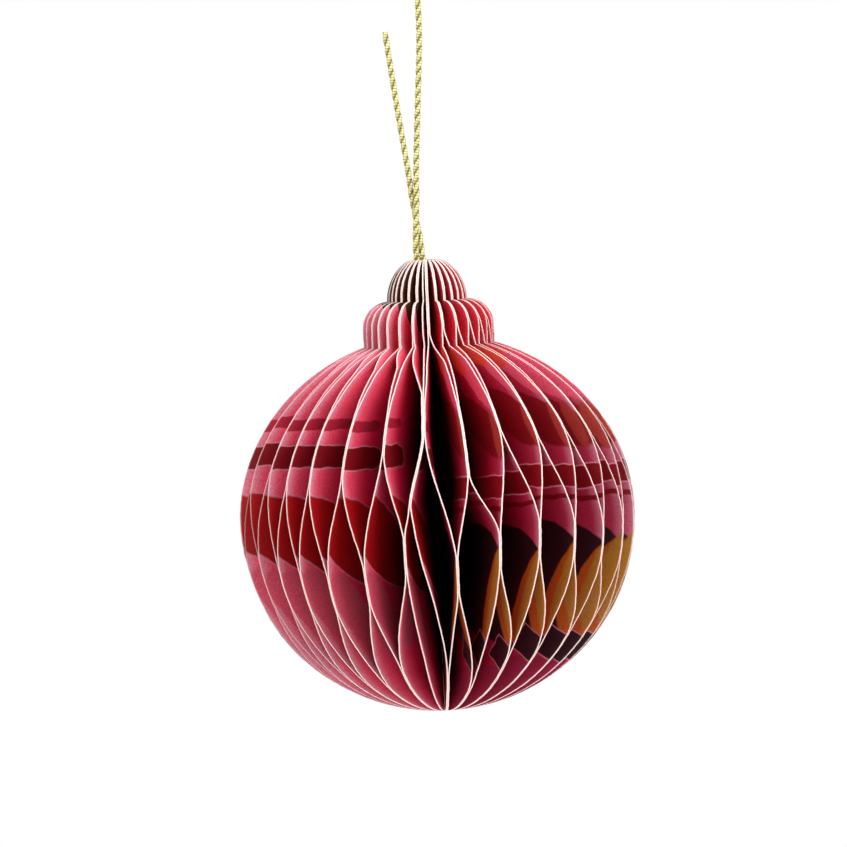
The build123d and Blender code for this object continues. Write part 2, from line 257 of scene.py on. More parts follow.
@dataclass(frozen=True)
class PrintedPaper:
    """Uncoated card, offset printed and lightly sealed.

    It shows the eye even fields of ink over a fibre that comes through as fine speckle. The ink
    rubs off beside the cut edge. Along the cut edge the print is painted lighter, as light that
    reaches in at the gaps between the leaves, and towards the spine it is painted darker, as shade.

    Attributes:
        name: Name of the material.
        fields: Fields of colour, the lowest first.
        ground: Distances from the cut edge and the ground's colour there.
        painted_shade_span: Distances from the cut edge between which the print is painted darker
            towards the spine: painted shade deep in the cells.
        keyline: Colour of the unprinted line round some fields.
        core: Colour of the paper where the ink has rubbed off the cut edge.
        fibre: Width of the paper's fibre clumps. Real ones are about 0.05 wide, which is too fine
            to show, so they are drawn coarser.
        fibre_range: Values of the fibre pattern that give the darkest and the lightest ink.
        speckle: How light the ink is at those values, as shares of its colour.
        relief: Height of the fibre.
        relief_strength: Share of that height that shows.
        waver: How far the drawn outlines waver.
        waver_length: Length of that waver.
        worn: Width of the rubbed strip along the cut edge.
        rubbed_off: Share of the ink that is gone there.
        painted_edge_light_width: Width over which the print is painted lighter towards the cut
            edge, as painted light.
        painted_edge_light_gain: How much lighter the print is painted at the cut edge.
        painted_shade_at_spine: How light the print still is at the spine under that painted shade,
            as a share.
        roughness: Roughness of the sealed print.
        specular: Specular level of the sealed print.
    """

    name: str
    fields: tuple[Field, ...]
    ground: tuple[tuple[float, Ink], ...]
    painted_shade_span: tuple[float, float]
    keyline: Ink = Ink.ROSE
    core: str = "#FBE6E0"
    fibre: float = 0.3
    fibre_range: tuple[float, float] = (0.25, 0.75)
    speckle: tuple[float, float] = (0.72, 1.24)
    relief: float = 0.03
    relief_strength: float = 0.35
    waver: float = 0.9
    waver_length: float = 3.5
    worn: float = 0.05
    rubbed_off: float = 0.75
    painted_edge_light_width: float = 1.3
    painted_edge_light_gain: float = 1.15
    painted_shade_at_spine: float = 0.06
    roughness: float = 0.48
    specular: float = 0.3

    def material(self) -> bpy.types.Material:
        """Builds the material.

        Returns:
            The material of one printed face.
        """
        material, tree, shader = new_material(self.name)
        sheet = add_node(tree, "UVMap", {"uv_map": PRINT_MAP}).outputs[0]
        space = add_node(tree, "TexCoord").outputs["Object"]
        settings = {"Scale": 1 / (self.waver_length * MM), "Detail": 1.0}
        waver = add_node(tree, "TexNoise", settings, {"Vector": space}).outputs["Color"]
        settings = {"operation": "SUBTRACT", 1: (0.5, 0.5, 0.5)}
        waver = add_node(tree, "VectorMath", settings, {0: waver}).outputs[0]
        settings = {"operation": "MULTIPLY_ADD", 1: (self.waver, self.waver, 0.0)}
        place = add_node(tree, "VectorMath", settings, {0: waver, 2: sheet}).outputs[0]
        edge = add_node(tree, "UVMap", {"uv_map": EDGE_MAP}).outputs[0]
        inward = add_node(tree, "SeparateXYZ", links={0: edge}).outputs[0]
        colour = self.inks(tree, place, inward)
        settings = {"Scale": 1 / (self.fibre * MM), "Detail": 2.0, "Roughness": 0.7}
        fibre = add_node(tree, "TexNoise", settings, {"Vector": space}).outputs[0]
        settings = {"From Min": self.fibre_range[0], "From Max": self.fibre_range[1]}
        settings |= {"To Min": self.speckle[0], "To Max": self.speckle[1]}
        tone = add_node(tree, "MapRange", settings, {"Value": fibre}).outputs[0]
        # Painted light: the print is lighter along the cut edge.
        settings = {"From Max": self.painted_edge_light_width, "To Min": self.painted_edge_light_gain, "To Max": 1.0}
        painted_edge_light = add_node(tree, "MapRange", settings, {"Value": inward}).outputs[0]
        # Painted shade: the print darkens towards the spine, deep in the narrow cells between the
        # leaves.
        settings = {"From Min": self.painted_shade_span[0], "From Max": self.painted_shade_span[1]}
        settings |= {"To Min": 1.0, "To Max": self.painted_shade_at_spine}
        painted_deep_shade = add_node(tree, "MapRange", settings, {"Value": inward}).outputs[0]
        for factor in (painted_edge_light, painted_deep_shade):
            settings, links = {"operation": "MULTIPLY"}, {0: tone, 1: factor}
            tone = add_node(tree, "Math", settings, links).outputs[0]
        settings, links = {"operation": "SCALE"}, {0: colour, "Scale": tone}
        colour = add_node(tree, "VectorMath", settings, links).outputs[0]
        colour = self.rubbed(tree, colour, fibre, inward)
        tree.links.new(colour, shader.inputs["Base Color"])
        shader.inputs["Roughness"].default_value = self.roughness
        shader.inputs["Specular IOR Level"].default_value = self.specular
        settings = {"Strength": self.relief_strength, "Distance": self.relief * MM}
        bump = add_node(tree, "Bump", settings, {"Height": fibre})
        tree.links.new(bump.outputs[0], shader.inputs["Normal"])
        return material

    def inks(self, tree: Tree, place: Socket, inward: Socket) -> Socket:
        """Lays the fields of colour over the ground.

        Args:
            tree: Node tree of the print.
            place: Place on the flat leaf, in millimetres.
            inward: Distance from the cut edge, in millimetres.

        Returns:
            Socket with the ink's colour.
        """
        under: dict[Any, Socket] = {}
        for (near, outer), (far, inner) in zip(self.ground, self.ground[1:]):
            settings = {"From Min": near, "From Max": far}
            share = add_node(tree, "MapRange", settings, {"Value": inward}).outputs[0]
            settings = {"data_type": "RGBA", MIX_UNDER: linear(outer), MIX_OVER: linear(inner)}
            links = {MIX_SHARE: share, **under}
            colour = add_node(tree, "Mix", settings, links).outputs[MIX_RESULT]
            under = {MIX_UNDER: colour}
        for field in self.fields:
            layers = [(0.0, field.colour)]
            if field.line > 0:
                layers.insert(0, (field.line, self.keyline))
            for spread, ink in layers:
                covered = field.coverage(tree, place, spread)
                settings = {"data_type": "RGBA", MIX_OVER: linear(ink)}
                links = {MIX_SHARE: covered, MIX_UNDER: colour}
                colour = add_node(tree, "Mix", settings, links).outputs[MIX_RESULT]
        return colour

    def rubbed(self, tree: Tree, colour: Socket, fibre: Socket, inward: Socket) -> Socket:
        """Lets the paper show where the ink has rubbed off beside the cut edge.

        Args:
            tree: Node tree of the print.
            colour: Colour of the print.
            fibre: Fibre pattern, from zero to one.
            inward: Distance from the cut edge, in millimetres.

        Returns:
            Socket with the rubbed print's colour.
        """
        settings = {"operation": "MULTIPLY_ADD", 1: -2 * self.worn, 2: 2 * self.worn}
        limit = add_node(tree, "Math", settings, {0: fibre}).outputs[0]
        settings, links = {"operation": "SUBTRACT"}, {0: inward, 1: limit}
        past = add_node(tree, "Math", settings, links).outputs[0]
        settings = {"From Min": -INK_EDGE, "From Max": INK_EDGE}
        settings |= {"To Min": self.rubbed_off, "To Max": 0.0}
        bare = add_node(tree, "MapRange", settings, {"Value": past}).outputs[0]
        settings = {"data_type": "RGBA", MIX_OVER: linear(self.core)}
        links = {MIX_SHARE: bare, MIX_UNDER: colour}
        return add_node(tree, "Mix", settings, links).outputs[MIX_RESULT]


RIGHT_FACE = PrintedPaper(
    name="printed_paper_painted_light_right_face",
    fields=RIGHT_FACE_PRINT,
    ground=RIGHT_FACE_GROUND,
    painted_shade_span=(12.0, 22.0),
)
LEFT_FACE = PrintedPaper(
    name="printed_paper_painted_light_left_face",
    fields=LEFT_FACE_PRINT,
    ground=LEFT_FACE_SHADED_GROUND,
    painted_shade_span=(6.0, 15.0),
)


@dataclass(frozen=True)
class CutPaper:
    """Die-cut edge of the card.

    It shows the eye bare pale fibre, a little woolly, with a blush of ink from both faces.

    Attributes:
        name: Name of the material.
        core: Colour of the paper.
        blush: Colour of the fibres that took ink.
        fibre: Width of the fibre clumps. Real ones are about 0.05 wide, which is too fine to show,
            so they are drawn coarser.
        blush_range: Values of the fibre pattern between which the blush comes in.
        relief: Height of the fibre.
        relief_strength: Share of that height that shows.
        roughness: Roughness of the bare paper.
        specular: Specular level of the bare paper.
    """

    name: str = "die_cut_paper_edge"
    core: str = "#FCE8E1"
    blush: str = "#F3C2BE"
    fibre: float = 0.35
    blush_range: tuple[float, float] = (0.4, 0.75)
    relief: float = 0.05
    relief_strength: float = 0.5
    roughness: float = 0.85
    specular: float = 0.2

    def material(self) -> bpy.types.Material:
        """Builds the material.

        Returns:
            The material of the cut edges.
        """
        material, tree, shader = new_material(self.name)
        space = add_node(tree, "TexCoord").outputs["Object"]
        settings = {"Scale": 1 / (self.fibre * MM), "Detail": 3.0, "Roughness": 0.65}
        fibre = add_node(tree, "TexNoise", settings, {"Vector": space}).outputs[0]
        settings = {"From Min": self.blush_range[0], "From Max": self.blush_range[1]}
        share = add_node(tree, "MapRange", settings, {"Value": fibre}).outputs[0]
        settings = {"data_type": "RGBA", MIX_UNDER: linear(self.core), MIX_OVER: linear(self.blush)}
        colour = add_node(tree, "Mix", settings, {MIX_SHARE: share}).outputs[MIX_RESULT]
        tree.links.new(colour, shader.inputs["Base Color"])
        shader.inputs["Roughness"].default_value = self.roughness
        shader.inputs["Specular IOR Level"].default_value = self.specular
        settings = {"Strength": self.relief_strength, "Distance": self.relief * MM}
        bump = add_node(tree, "Bump", settings, {"Height": fibre})
        tree.links.new(bump.outputs[0], shader.inputs["Normal"])
        return material


@dataclass(frozen=True)
class FoilThread:
    """Gold gift cord of foil-wrapped threads that are laid into plies.

    It shows the eye pale gold glints along the threads, painted as light on each thread's ridge and
    shade between the threads, and olive painted shade in the grooves between the plies.

    Attributes:
        name: Name of the material.
        thread_lit: Colour of the foil on a thread's ridge, with painted light.
        thread_shaded: Colour of the foil between the threads, with painted shade.
        groove_shade: Colour of the painted shade deep in the grooves between the plies.
        groove_shade_reach: How far out that painted shade shows, from darkest to none, as shares of
            the cord's radius.
        thread: Spacing of the threads along a ply. Real ones are about 0.2 apart, which is too
            fine to show, so they are drawn coarser.
        slant: How steeply the threads wind, as turns of the ply for each spacing.
        ridge_range: Values of a thread's wave between which it goes from painted shade to painted
            light.
        relief: Height of a thread.
        relief_strength: Share of that height that shows.
        metallic: Share of the surface that is foil.
        roughness: Roughness of the foil.
    """

    name: str = "gold_foil_thread"
    thread_lit: str = "#E2D998"
    thread_shaded: str = "#A69C50"
    groove_shade: str = "#3C350A"
    groove_shade_reach: tuple[float, float] = (0.63, 0.94)
    thread: float = 0.45
    slant: float = 1.0
    ridge_range: tuple[float, float] = (-1.0, 0.2)
    relief: float = 0.06
    relief_strength: float = 0.6
    metallic: float = 0.45
    roughness: float = 0.4

    def material(self) -> bpy.types.Material:
        """Builds the material.

        Returns:
            The material of the cord.
        """
        material, tree, shader = new_material(self.name)
        along = add_node(tree, "UVMap", {"uv_map": THREAD_MAP}).outputs[0]
        settings = {"operation": "DOT_PRODUCT", 1: (self.slant, 1 / self.thread, 0.0)}
        turns = add_node(tree, "VectorMath", settings, {0: along}).outputs["Value"]
        settings = {"operation": "MULTIPLY", 1: 2 * math.pi}
        phase = add_node(tree, "Math", settings, {0: turns}).outputs[0]
        wave = add_node(tree, "Math", {"operation": "COSINE"}, {0: phase}).outputs[0]
        # Painted light and shade: each thread is lighter on its ridge and darker between the
        # threads.
        settings = {"From Min": self.ridge_range[0], "From Max": self.ridge_range[1]}
        ridge = add_node(tree, "MapRange", settings, {"Value": wave}).outputs[0]
        thread_shaded, thread_lit = linear(self.thread_shaded), linear(self.thread_lit)
        settings = {"data_type": "RGBA", MIX_UNDER: thread_shaded, MIX_OVER: thread_lit}
        colour = add_node(tree, "Mix", settings, {MIX_SHARE: ridge}).outputs[MIX_RESULT]
        # Painted shade: the cord darkens towards the grooves between the plies.
        lay = add_node(tree, "UVMap", {"uv_map": LAY_MAP}).outputs[0]
        out = add_node(tree, "SeparateXYZ", links={0: lay}).outputs[0]
        settings = {"From Min": self.groove_shade_reach[0], "From Max": self.groove_shade_reach[1]}
        out_of_groove_shade = add_node(tree, "MapRange", settings, {"Value": out}).outputs[0]
        settings = {"data_type": "RGBA", MIX_UNDER: linear(self.groove_shade)}
        links = {MIX_SHARE: out_of_groove_shade, MIX_OVER: colour}
        colour = add_node(tree, "Mix", settings, links).outputs[MIX_RESULT]
        tree.links.new(colour, shader.inputs["Base Color"])
        shader.inputs["Metallic"].default_value = self.metallic
        shader.inputs["Roughness"].default_value = self.roughness
        settings = {"Strength": self.relief_strength, "Distance": self.relief * MM}
        bump = add_node(tree, "Bump", settings, {"Height": ridge})
        tree.links.new(bump.outputs[0], shader.inputs["Normal"])
        return material


class Face(Enum):
    """Surfaces of a leaf, in the order of its materials."""

    RIGHT = 0
    LEFT = 1
    EDGE = 2


@dataclass(frozen=True)
class MeshParts:
    """Points, faces and maps of a piece that is about to become a mesh.

    Attributes:
        points: Places in millimetres.
        faces: Corner numbers of each face.
        kinds: Material number of each face.
        maps: Map values of each point, by the map's name.
    """

    points: np.ndarray
    faces: list[tuple[int, ...]]
    kinds: list[int]
    maps: dict[str, np.ndarray]

    def to_object(
        self, name: str, materials: Sequence[bpy.types.Material], crease: float
    ) -> bpy.types.Object:
        """Makes the Blender object.

        Args:
            name: Name of the piece.
            materials: Materials in the order of the face kinds.
            crease: Angle in degrees above which an edge stays sharp.

        Returns:
            The linked object, riding on the bauble.
        """
        mesh = bpy.data.meshes.new(name)
        mesh.from_pydata((self.points * MM).tolist(), [], self.faces)
        for material in materials:
            mesh.materials.append(material)
        mesh.polygons.foreach_set("material_index", self.kinds)
        mesh.polygons.foreach_set("use_smooth", [True] * len(self.faces))
        corners = np.zeros(len(mesh.loops), int)
        mesh.loops.foreach_get("vertex_index", corners)
        for map_name, values in self.maps.items():
            layer = mesh.uv_layers.new(name=map_name)
            layer.uv.foreach_set("vector", values[corners].astype(np.float32).ravel())
        mesh.set_sharp_from_angle(angle=math.radians(crease))
        mesh.validate()
        piece = bpy.data.objects.new(name, mesh)
        bpy.context.scene.collection.objects.link(piece)
        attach(piece, BODY)
        return piece


class Stop(IntEnum):
    """Stops of a leaf's cut edge, from the crown down, by their place in its path."""

    TOP = 0
    CAP_FORK = 1
    UPPER_TOP = 2
    UPPER_CLOSED = 3
    UPPER_FORK = 4
    MIDDLE_TOP = 5
    MIDDLE_BOTTOM = 6
    LOWER_TOP = 7
    BOTTOM = 8


@dataclass
class LeafRing:
    """The bauble's body: leaves glued to their neighbours in alternating rows round a hollow spine.

    Attributes:
        pair_count: Pairs of leaves, besides the extra one at the closing seam.
        paper: Thickness of the card.
        glue_film: Gap that the glue fills between two leaves.
        ball_radius: Radius of the ball at its widest level.
        ball_rise: Height of the ball's upper half, as if its curve ran on to the axis.
        ball_drop: Depth of its lower half, taken in the same way.
        collar_radius: Radius of the cap's lower step.
        collar_wall: Height of that step's upright wall.
        collar_round: Height of its rounded shoulder.
        crown_radius: Radius of the cap's upper step.
        crown_rise: Height of the crown, as if its curve ran on to the axis.
        row_slant: How far the glued rows run askew of a level one, in degrees.
        cap_slant: The same for the row in the cap.
        cap_turn: How far the leaves are turned in the cap, in degrees.
        cap_fork_rise: Height above the neck at which two leaves glued in the cap part.
        cap_fork_least: Least that this height may be.
        upper_top_drop: Depth below the neck at which the upper row starts.
        upper_crack: Angle by which a leaf still stands off its joint there.
        upper_crack_length: Height over which that crack closes.
        upper_fork: Height at which the leaves of the upper row part.
        middle_height: Height of the middle of the middle row.
        middle_length: Length of the middle row.
        lower_row_length: Length of the lower row, as if it ran on to the axis.
        crease_softness: How soft the creases are, from zero to one.
        upper_wander: How far each fork of the upper row strays from its height.
        middle_wander: The same for the joints of the middle row.
        lower_wander: The same for the joints of the lower row.
        bunch_azimuth: Middle of the stretch where the leaves are bunched.
        bunch_width: Half the width of that stretch, in degrees.
        bunch_turn: How far the leaves in its middle are turned.
        seam_azimuth: Azimuth of the closing seam.
        seam_meet_drop: Depth below the neck at which the seam's two leaves meet.
        seam_part: Height at which they part again.
        seam_cap_turn: How far the first leaf is turned back in the cap.
        seam_foot: Joint, counted from the seam, where the last leaf ends.
        seam_pull_right: How far the seam draws the lower row aside on its right, in degrees.
        seam_pull_left: The same on its left.
        seam_pull_middle: The same for the middle row.
        seam_pull_joints: Number of joints over which that pull fades.
        row_step: Distance between rows of points.
        least_reach: Least width of a leaf at its ends.
        columns: Columns of points, as shares of the way from the spine to the cut edge.
        ripple: How far the springy paper bends sideways.
        ripple_length: Length of those bends.
        flutter: How far the cut edge frays sideways.
        flutter_length: Length of that fraying.
        misprint: Most that the print is shifted from leaf to leaf.
        crease: Angle in degrees above which an edge stays sharp.
        seed: Seed of the random draws.
    """

    pair_count: int = 28
    paper: float = 0.22
    glue_film: float = 0.03
    ball_radius: float = 35.0
    ball_rise: float = 32.6
    ball_drop: float = 34.1
    collar_radius: float = 11.6
    collar_wall: float = 3.2
    collar_round: float = 4.7
    crown_radius: float = 7.1
    crown_rise: float = 7.8
    row_slant: float = 8.0
    cap_slant: float = 20.0
    cap_turn: float = -3.7
    cap_fork_rise: float = 1.9
    cap_fork_least: float = 0.4
    upper_top_drop: float = 2.9
    upper_crack: float = 1.0
    upper_crack_length: float = 7.5
    upper_fork: float = 13.3
    middle_height: float = -6.5
    middle_length: float = 6.5
    lower_row_length: float = 9.3
    crease_softness: float = 0.5
    upper_wander: tuple[float, ...] = (
        2.8, -5.4, 1.2, -1.3, -1.2, -2.6, 1.0,
        0.0, 0.0, 2.3, -1.0, -2.0, -2.0, 1.2,
    )
    middle_wander: tuple[float, ...] = (
        -2.3, 0.6, 1.1, -0.3, -2.0, -2.2, -0.5,
        0.8, 2.2, 0.3, -1.0, -2.1, -1.4, 2.6,
    )
    lower_wander: tuple[float, ...] = (
        -1.5, -6.0, -0.9, -1.1, 0.5, 2.2, -1.0,
        0.0, 1.0, -0.5, 0.5, -1.1, -2.0, 0.7,
    )
    bunch_azimuth: float = -75.0
    bunch_width: float = 45.0
    bunch_turn: float = 8.0
    seam_azimuth: float = -3.0
    seam_meet_drop: float = 7.76
    seam_part: float = 4.0
    seam_cap_turn: float = 4.0
    seam_foot: float = -0.25
    seam_pull_right: float = 4.8
    seam_pull_left: float = 2.5
    seam_pull_middle: float = 1.9
    seam_pull_joints: int = 14
    row_step: float = 0.8
    least_reach: float = 0.2
    columns: tuple[float, ...] = (0.0, 0.22, 0.44, 0.62, 0.76, 0.87, 0.95, 1.0)
    ripple: float = 0.14
    ripple_length: float = 9.0
    flutter: float = 0.05
    flutter_length: float = 1.3
    misprint: float = 0.9
    crease: float = 50.0
    seed: int = 28

    def __post_init__(self) -> None:
        """Works out the sizes that follow from the driving ones."""
        self.count = 2 * self.pair_count + 1
        self.spine = (self.paper + self.glue_film) / (2 * math.sin(math.pi / self.count))
        self.neck = self.ball_rise * math.sqrt(1 - (self.collar_radius / self.ball_radius) ** 2)
        self.wall_top = self.neck + self.collar_wall
        self.waist = self.wall_top + self.collar_round
        crown_share = math.sqrt(1 - (self.spine / self.crown_radius) ** 2)
        self.top = self.waist + self.crown_rise * crown_share
        self.bottom = -self.ball_drop * math.sqrt(1 - (self.spine / self.ball_radius) ** 2)
        self.ball_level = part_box("paper_leaf_01")[1].z / MM - self.top
        self.random = np.random.default_rng(self.seed)

    def outline(self, z: np.ndarray) -> np.ndarray:
        """Radius of the bauble's outline.

        Args:
            z: Heights.

        Returns:
            A radius for each height.
        """

        def quarter_round(share: np.ndarray) -> np.ndarray:
            """Width of an ellipse, as a share of its widest, at shares of its half height."""
            return np.sqrt(np.clip(1 - share**2, 0, None))

        ball = self.ball_radius * quarter_round(z / np.where(z > 0, self.ball_rise, self.ball_drop))
        overhang = self.collar_radius - self.crown_radius
        shoulder = quarter_round((z - self.wall_top) / self.collar_round)
        collar = self.crown_radius + overhang * shoulder
        crown = self.crown_radius * quarter_round((z - self.waist) / self.crown_rise)
        ranges = [z >= self.waist, z >= self.wall_top, z >= self.neck]
        return np.select(ranges, [crown, collar, np.full_like(z, self.collar_radius)], ball)

    def row_heights(self) -> np.ndarray:
        """Spaces the mesh rows about evenly along the cut edge.

        Returns:
            Their heights, from the crown down.
        """

        def steps(start: float, end: float, length: float) -> np.ndarray:
            """Even steps on a stretch of some length, without its end."""
            return np.linspace(start, end, 2 + round(length / self.row_step))[:-1]

        def turns(start: float, end: float, radius: float) -> np.ndarray:
            """Even steps from one turn to another on a round stretch."""
            return steps(start, end, abs(end - start) * radius)

        crown = turns(math.asin((self.top - self.waist) / self.crown_rise), 0.0, self.crown_rise)
        collar = turns(0.0, math.pi / 2, self.collar_round)
        upper = turns(math.asin(self.neck / self.ball_rise), 0.0, self.ball_radius)
        lower = turns(0.0, math.asin(-self.bottom / self.ball_drop), self.ball_radius)
        rows = np.concatenate(
            [
                self.waist + self.crown_rise * np.sin(crown),
                self.wall_top + self.collar_round * np.cos(collar),
                steps(self.wall_top, self.neck, self.collar_wall),
                self.ball_rise * np.sin(upper),
                -self.ball_drop * np.sin(lower),
            ]
        )
        return rows[self.outline(rows) - self.spine > self.least_reach]

    def joint_azimuth(self, joint: float) -> float:
        """Azimuth of a glued joint.

        Args:
            joint: Number of the joint, whole in the upper and lower rows and a half in the others.

        Returns:
            Its azimuth in degrees.
        """
        even = self.seam_azimuth + joint * 360.0 / self.pair_count
        away = (even - self.bunch_azimuth + 180) % 360 - 180
        if abs(away) >= self.bunch_width:
            return even
        return even + self.bunch_turn * math.cos(math.radians(90 * away / self.bunch_width)) ** 2

    def nearness(self, joints: float) -> float:
        """How near a joint is to the closing seam, from one at the seam down to zero."""
        return max(0.0, 1 - joints / self.seam_pull_joints)

    def middle_azimuth(self, joint: float) -> float:
        """Azimuth of a joint in the middle row."""
        pull = self.seam_pull_middle * self.nearness(joint % self.pair_count)
        return self.joint_azimuth(joint) + pull

    def lower_azimuth(self, joint: float) -> float:
        """Azimuth of a joint in the lower row, which the gaping seam draws aside.

        Args:
            joint: Number of the joint.

        Returns:
            Its azimuth in degrees.
        """
        right = self.seam_pull_right * self.nearness(joint)
        left = self.seam_pull_left * self.nearness(self.pair_count - joint)
        return self.joint_azimuth(joint) + right - left

    def slant(self, joint: float, radius: float, askew: float) -> float:
        """Rise of a glue row at a joint, because it runs askew of the axis.

        Args:
            joint: Number of the joint.
            radius: Radius of the row.
            askew: Angle in degrees between the row and a level one.

        Returns:
            The rise.
        """
        aside = math.sin(math.radians(self.joint_azimuth(joint)))
        return radius * aside * math.tan(math.radians(askew))

    def cap_fork(self, joint: float) -> float:
        """Height at which two leaves glued in the cap part."""
        rise = self.cap_fork_rise + self.slant(joint, self.collar_radius, self.cap_slant)
        return self.neck + max(rise, self.cap_fork_least)

    def upper_top(self, joint: float) -> float:
        """Height at which two leaves of the upper row meet below the cap."""
        rise = self.slant(joint, self.collar_radius, self.row_slant)
        return self.neck - self.upper_top_drop + rise

    def on_ball(self, height: float, wander: tuple[float, ...], joint: float) -> float:
        """Height of a joint in a row on the ball.

        Args:
            height: Height of the row.
            wander: How far each joint of the row strays from it.
            joint: Number of the joint.

        Returns:
            Height of that joint.
        """
        rise = self.slant(joint, self.ball_radius, self.row_slant)
        return height + rise + wander[math.floor(joint) % len(wander)]

    def regular_path(self, upper_joint: float, middle_joint: float) -> Path:
        """Heights and azimuths through which a leaf's cut edge runs.

        Args:
            upper_joint: Joint of the leaf in the upper and lower rows.
            middle_joint: Joint of the leaf in the cap and the middle row.

        Returns:
            Pairs of height and azimuth at each stop, from the crown down.
        """
        in_cap = self.joint_azimuth(middle_joint) + self.cap_turn
        at_upper = self.joint_azimuth(upper_joint)
        at_middle = self.middle_azimuth(middle_joint)
        crack = math.copysign(self.upper_crack, middle_joint - upper_joint)
        upper_top = self.upper_top(upper_joint)
        at_lower = self.lower_azimuth(upper_joint)
        middle = self.on_ball(self.middle_height, self.middle_wander, middle_joint)
        lower_height = self.lower_row_length - self.ball_drop
        return [
            (self.top, in_cap),
            (self.cap_fork(middle_joint), in_cap),
            (upper_top, at_upper + crack),
            (upper_top - self.upper_crack_length, at_upper),
            (self.on_ball(self.upper_fork, self.upper_wander, upper_joint), at_upper),
            (middle + self.middle_length / 2, at_middle),
            (middle - self.middle_length / 2, at_middle),
            (self.on_ball(lower_height, self.lower_wander, upper_joint), at_lower),
            (self.bottom, at_lower),
        ]

    def azimuths(self, path: Path, z: np.ndarray) -> np.ndarray:
        """Azimuth of a leaf: straight runs eased at both ends.

        Args:
            path: Pairs of height and azimuth, from the crown down.
            z: Heights.

        Returns:
            An azimuth in degrees for each height.
        """
        result = np.full_like(z, path[-1][1])
        for (high, start), (low, end) in reversed(list(zip(path, path[1:]))):
            share = np.clip((high - z) / (high - low), 0, 1)
            eased = share * share * (3 - 2 * share)
            turned = start + (end - start) * (share + self.crease_softness * (eased - share))
            result = np.where(z >= low, turned, result)
        return result

    def last_path(self) -> Path:
        """Path of the last leaf, which meets the first one, parts from it and runs on alone.

        Returns:
            Pairs of height and azimuth, from the crown down.
        """
        regular = self.regular_path(0, -0.5)
        in_cap = regular[: Stop.UPPER_TOP]
        fork, *middle = regular[Stop.UPPER_FORK : Stop.LOWER_TOP]
        meet = (self.neck - self.seam_meet_drop, self.joint_azimuth(0))
        foot = (self.bottom, self.joint_azimuth(self.seam_foot))
        unbent = [*in_cap, meet, fork, *middle, foot]
        parting = self.azimuths(unbent, np.array([self.seam_part]))[0]
        return [*in_cap, meet, fork, (self.seam_part, float(parting)), *middle, foot]

    def first_path(self) -> Path:
        """Path of the first leaf, which lies on the last one down to where the seam parts.

        Returns:
            Pairs of height and azimuth, from the crown down.
        """
        # Both seam leaves run through the last one's fork and the place where they part.
        *_, fork, parting = self.last_path()[: Stop.MIDDLE_TOP]
        regular = self.regular_path(0, 0.5)
        in_cap = self.joint_azimuth(0.5) + self.cap_turn - self.seam_cap_turn
        return [
            (self.top, in_cap),
            (self.cap_fork(0.5), in_cap),
            (self.upper_top(0), self.joint_azimuth(0)),
            fork,
            parting,
            *regular[Stop.LOWER_TOP :],
        ]

    def leaf_path(self, number: int) -> Path:
        """Path of a leaf.

        Args:
            number: Number of the leaf, counted from 1 at the right of the closing seam.

        Returns:
            Pairs of height and azimuth, from the crown down.
        """
        if number == 1:
            return self.first_path()
        if number == self.count:
            return self.last_path()
        if number % 2 == 0:
            return self.regular_path(number / 2 - 1, number / 2 - 0.5)
        return self.regular_path((number - 1) / 2, (number - 1) / 2 - 0.5)

    def stray(self, point: np.ndarray, share: float) -> float:
        """How far the springy paper strays sideways at a point.

        Args:
            point: Place in millimetres.
            share: How far out it lies, from the spine to the cut edge.

        Returns:
            Distance in millimetres, the same for leaves that touch there.
        """
        ripple = self.ripple * noise.noise(Vector(point) / self.ripple_length)
        flutter = self.flutter * noise.noise(Vector(point) / self.flutter_length)
        # The ripple grows all the way out, and the flutter only close to the cut edge.
        return ripple * share**2 + flutter * share**8

    def leaf_parts(self, number: int) -> MeshParts:
        """Shapes one leaf.

        Args:
            number: Number of the leaf.

        Returns:
            Its points, faces and maps.
        """
        z = self.row_heights()
        shares = np.array(self.columns)
        # At the spine the seam lies midway between the first leaf and the second.
        turn = math.radians(self.seam_azimuth + (number - 1.5) * 360.0 / self.count)
        pivot = self.spine * np.array([math.sin(turn), -math.cos(turn), 0.0])
        across = np.array([math.cos(turn), math.sin(turn), 0.0])
        headings = np.radians(self.azimuths(self.leaf_path(number), z))
        cut = self.flutter * self.random.standard_normal(len(z)) / 2
        reach = self.outline(z) - self.spine + cut
        ray = np.stack([np.sin(headings), -np.cos(headings), np.zeros_like(z)], axis=1)
        middle = pivot + (reach[:, None, None] * shares[None, :, None]) * ray[:, None, :]
        middle[:, :, 2] = z[:, None]
        for row, column in np.ndindex(middle.shape[:2]):
            middle[row, column] += across * self.stray(middle[row, column], shares[column])
        half = across * self.paper / 2
        points = np.concatenate([(middle + half).reshape(-1, 3), (middle - half).reshape(-1, 3)])
        points[:, 2] += self.ball_level
        shift = self.misprint * self.random.uniform(-1, 1, 2)
        inward = reach[:, None] * (1 - shares[None, :])
        heights = np.repeat(z[:, None], len(shares), 1)
        sheet = np.stack([self.outline(z)[:, None] - inward, heights], axis=2)
        edge = np.stack([inward, heights], axis=2)
        maps = {
            PRINT_MAP: np.tile((sheet + shift).reshape(-1, 2), (2, 1)),
            EDGE_MAP: np.tile(edge.reshape(-1, 2), (2, 1)),
        }
        faces, kinds = self.leaf_faces(len(z), len(shares))
        return MeshParts(points, faces, kinds, maps)

